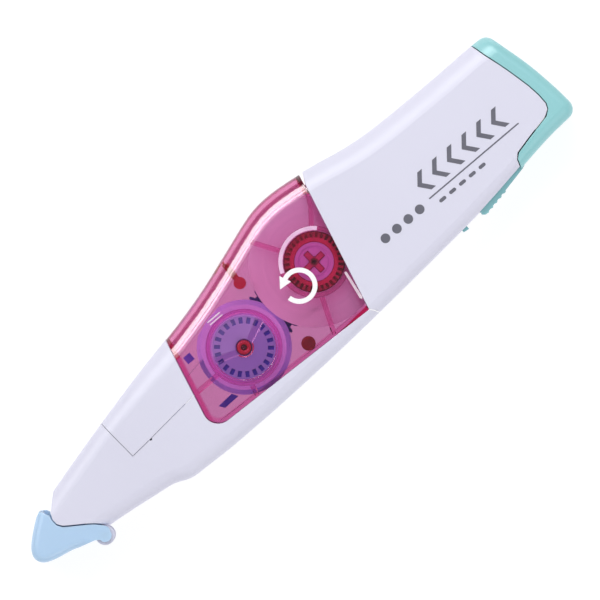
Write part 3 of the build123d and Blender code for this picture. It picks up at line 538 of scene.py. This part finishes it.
# the snapped end of the take-up axle, a dark disc in its bore as painted shade of the hole, and the web from the upper
# peg to the case's edge
def lathe(name, c, profile, mat, n=64):
    """Closed ring of revolution about the layout point c; profile is a closed loop of (radius, z) in mm."""
    bm = bmesh.new()
    rows = []
    for k in range(n):
        a = 2 * math.pi * k / n
        rows.append([bm.verts.new(M(c[0] + r * math.cos(a), c[1] + r * math.sin(a), z)) for r, z in profile])
    for k in range(n):
        p_, q = rows[k], rows[(k + 1) % n]
        for i in range(len(profile)):
            j = (i + 1) % len(profile)
            bm.faces.new((p_[i], q[i], q[j], p_[j]))
    bmesh.ops.recalc_face_normals(bm, faces=bm.faces)
    for f in bm.faces:
        f.smooth = True
    me = bpy.data.meshes.new(name)
    bm.to_mesh(me)
    bm.free()
    me.materials.append(mat)
    ob = bpy.data.objects.new(name, me)
    bpy.context.scene.collection.objects.link(ob)
    return ob


tip_profile = [(0.55, 12.64), (1.3, 12.64), (1.42, 12.75), (1.42, 12.95), (1.3, 13.12), (1.05, 13.22), (0.8, 13.18), (0.6, 13.02)]
axle_tip = lathe("axle_tip", TAK, tip_profile, CRIM)
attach(axle_tip, "front_unit")
# painted shade: a dark disc that fills the axle's bore to stand for the hole's shadow
hole_shade = lathe("axle_hole_shade_disc", TAK, [(0.02, 12.50), (0.56, 12.50), (0.56, 12.66), (0.02, 12.70)], AXLE_HOLE_SHADE, 32)
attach(hole_shade, "front_unit")
web = slab("peg_web", [[(-7.3, 10.9), (-6.2, 10.9), (-5.95, 14.3), (-6.35, 14.7), (-6.85, 14.5)]], 10.95, 11.5, CRIM)
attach(web, "front_unit")

# generic marks on the grip: chevrons towards the tip, a rule, dashes and dots
def chevron(x, y, w, h, t):
    return [(x, y), (x + w, y + h / 2), (x + w + t, y + h / 2), (x + t, y), (x + w + t, y - h / 2), (x + w, y - h / 2)]


Z0P, Z1P = 14.99, 15.014
marks = [
    ("grip_chevrons", [chevron(31.6 + 3.75 * k, 2.0, 1.75, 4.3, 1.15) for k in range(6)]),
    ("grip_rule", [round_bar(31.8, 54.6, -1.25, 0.28)]),
    ("grip_dashes", [round_bar(33.0 + 2.5 * k, 34.6 + 2.5 * k, -3.0, 0.7) for k in range(5)]),
    ("grip_dots", [ellipse(20.4 + 2.9 * k, -1.6, 0.95, 0.95, 32) for k in range(4)]),
]
for name, loops in marks:
    ob = slab(name, loops, Z0P, Z1P, INK)
    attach(ob, "rear_grip")

# =================================================================================================
# stage
# =================================================================================================
bm = bmesh.new()
bmesh.ops.create_grid(bm, x_segments=24, y_segments=24, size=0.9)
me = bpy.data.meshes.new("floor")
bm.to_mesh(me)
bm.free()
floor = bpy.data.objects.new("floor", me)
floor.location = (0, 0, -0.00005)
bpy.context.scene.collection.objects.link(floor)
m, nt, out = new_mat("pale_floor")
p = nt.nodes.new("ShaderNodeBsdfPrincipled")
p.inputs["Specular IOR Level"].default_value = 0.2
p.inputs["Emission Color"].default_value = (1.0, 1.0, 1.0, 1)
p.inputs["Emission Strength"].default_value = 0.78
nt.links.new(ramp(nt, noise(nt, 3, 2), 0.3, 0.7, (0.29, 0.29, 0.30), (0.31, 0.31, 0.32)), p.inputs["Base Color"])
nt.links.new(mapr(nt, noise(nt, 200, 3), 0.6, 0.75, 0.3, 0.7), p.inputs["Roughness"])
nt.links.new(p.outputs[0], out.inputs["Surface"])
me.materials.append(m)

world = bpy.data.worlds.new("studio")
bpy.context.scene.world = world
world.use_nodes = True
wn = world.node_tree
wn.nodes.clear()
wo = wn.nodes.new("ShaderNodeOutputWorld")
bg = wn.nodes.new("ShaderNodeBackground")
bg.inputs["Color"].default_value = (1.0, 1.0, 1.0, 1)
bg.inputs["Strength"].default_value = 0.56
# what is seen through the clear plastic at a slant is the studio's white walls
walls = wn.nodes.new("ShaderNodeBackground")
walls.inputs["Color"].default_value = (1.0, 1.0, 1.0, 1)
walls.inputs["Strength"].default_value = 1.7
wl = wn.nodes.new("ShaderNodeLightPath")
wm = wn.nodes.new("ShaderNodeMixShader")
wn.links.new(wl.outputs["Is Transmission Ray"], wm.inputs["Fac"])
wn.links.new(bg.outputs[0], wm.inputs[1])
wn.links.new(walls.outputs[0], wm.inputs[2])
# sheens see a dimmer ceiling, so dark pieces under the window keep their colour
ceiling = wn.nodes.new("ShaderNodeBackground")
ceiling.inputs["Color"].default_value = (1.0, 1.0, 1.0, 1)
ceiling.inputs["Strength"].default_value = 0.27
wg = wn.nodes.new("ShaderNodeMixShader")
wn.links.new(wl.outputs["Is Glossy Ray"], wg.inputs["Fac"])
wn.links.new(wm.outputs[0], wg.inputs[1])
wn.links.new(ceiling.outputs[0], wg.inputs[2])
wn.links.new(wg.outputs[0], wo.inputs[0])


def softbox(name, loc, target, size, power):
    l = bpy.data.lights.new(name, "AREA")
    l.shape = "RECTANGLE"
    l.size, l.size_y = size
    l.energy = power
    o = bpy.data.objects.new(name, l)
    o.location = loc
    d = Vector(target) - Vector(loc)
    o.rotation_euler = d.to_track_quat("-Z", "Y").to_euler()
    bpy.context.scene.collection.objects.link(o)
    return o


# main softbox beyond the humped side, a low fill opposite, and a weak strip past the tail
softbox("key", (0.05, 0.42, 0.42), (0, 0, 0), (0.62, 0.34), 0.80)
softbox("strip", (0.04, 0.27, 0.46), (0, 0, 0), (0.60, 0.07), 0.85)
softbox("fill", (-0.05, -0.52, 0.36), (0, 0, 0), (0.6, 0.3), 1.0)
softbox("tail_strip", (0.55, 0.0, 0.35), (0, 0, 0), (0.12, 0.5), 0.25)
# two boxes that only give sheen along the rounded edge on the humped side
for args in (("sheen_low", (0.03, 0.394, 0.308), (0, 0, 0), (0.70, 0.22), 3.6), ("sheen_high", (0.03, 0.219, 0.449), (0, 0, 0), (0.70, 0.25), 0.9)):
    box_light = softbox(*args)
    box_light.visible_diffuse = False
    box_light.visible_transmission = False
    box_light.visible_volume_scatter = False

# =================================================================================================
# camera: straight down on the flat side, turned as in the picture
# =================================================================================================
cam_d = bpy.data.cameras.new("camera")
cam = bpy.data.objects.new("camera", cam_d)
bpy.context.scene.collection.objects.link(cam)
right = Vector((0.7627, -0.6468, 0)).normalized()
up = Vector((0.6468, 0.7627, 0)).normalized()
back = right.cross(up)
c = M(0, 0, 0)
cam_d.lens = 500
cam_d.sensor_width = 36
dist = 0.117 * 500 / 36
R = Matrix((right, up, back)).transposed()
cam.matrix_world = Matrix.Translation(Vector((c.x, c.y, 0.0075)) + back * dist) @ R.to_4x4()
cam_d.clip_start = 0.01
cam_d.clip_end = 20
bpy.context.scene.camera = cam

bpy.context.scene.view_settings.view_transform = "Standard"
bpy.context.scene.view_settings.look = "None"
